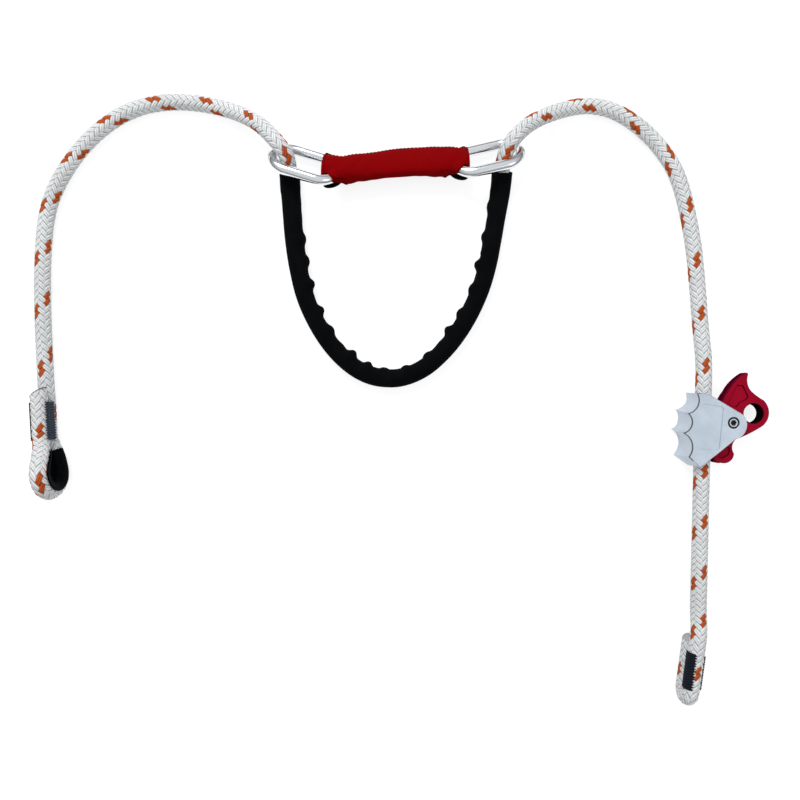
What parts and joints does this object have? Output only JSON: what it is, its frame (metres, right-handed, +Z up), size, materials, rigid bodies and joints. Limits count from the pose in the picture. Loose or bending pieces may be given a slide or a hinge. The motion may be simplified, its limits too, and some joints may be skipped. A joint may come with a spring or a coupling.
{
  "type": "tree climbing lanyard",
  "caption": "Braided rope lanyard that chokes a trunk through two oval rings joined by a red bridge, with a black wear sleeve, a cam rope grab and two sewn eyes",
  "frame": {"origin": "On the bench, under the middle of the box round the two rings, the bridge and the wear sleeve", "axes": "+Z points up from the bench out of the flat lay, +X runs along the red bridge towards the rope grab, +Y points from the trunk bend towards the bridge"},
  "size_m": [0.6039, 0.5028, 0.0435],
  "materials": {
    "braided_rope": "sixteen-strand braid, off-white with rusty orange tracer strands",
    "thimble_rubber": "moulded black rubber, satin",
    "sewing_thread": "dense zigzag of dark blue-black thread",
    "polished_steel": "polished forged steel",
    "black_webbing": "fine woven black tube and webbing, matt",
    "red_cloth": "fine woven deep red cloth",
    "silver_anodised": "silver anodised, satin",
    "crimson_anodised": "crimson anodised aluminium, satin",
    "bush_bronze": "turned bronze, hidden in the grab"
  },
  "bodies": {
    "lanyard": {"rope_left_leg": "braided_rope", "rope_in_sleeve": "braided_rope", "rope_right_leg": "braided_rope", "eye_thimble": "thimble_rubber", "eye_seam_inner": "sewing_thread", "eye_seam_outer": "sewing_thread", "end_seam_inner": "sewing_thread", "end_seam_outer": "sewing_thread", "bridge_webbing": "black_webbing", "bridge_sleeve": "red_cloth", "wear_sleeve": "black_webbing"},
    "left_ring": {"ring_left": "polished_steel"},
    "right_ring": {"ring_right": "polished_steel"},
    "grab": {"adjuster_body": "silver_anodised", "pivot_bolt": "polished_steel", "pivot_bush": "bush_bronze", "thrust_washer_rear": "polished_steel", "thrust_washer_front": "polished_steel", "pivot_nut": "polished_steel", "cam_spring": "polished_steel"},
    "cam": {"adjuster_cam": "crimson_anodised"}
  },
  "joints": [
    {"name": "left_ring_swing", "type": "hinge", "parent": "lanyard", "child": "left_ring", "pos_m": [-0.06312, 0.07531, 0.0156], "axis": [-0.186, -0.6083, -0.7716], "range_deg": [-8, 2]},
    {"name": "right_ring_swing", "type": "hinge", "parent": "lanyard", "child": "right_ring", "pos_m": [0.06261, 0.08131, 0.0156], "axis": [-0.1431, 0.6198, 0.7716], "range_deg": [-8, 2]},
    {"name": "grab_slide", "type": "slide", "parent": "lanyard", "child": "grab", "axis": [-0.0233, -0.9997, 0], "range_m": [0, 0.11]},
    {"name": "cam_pivot", "type": "hinge", "parent": "grab", "child": "cam", "pos_m": [0.27115, -0.1321, 0.0122], "axis": [0, 0, 1], "range_deg": [0, 20], "deforming": ["cam_spring"]}
  ]
}
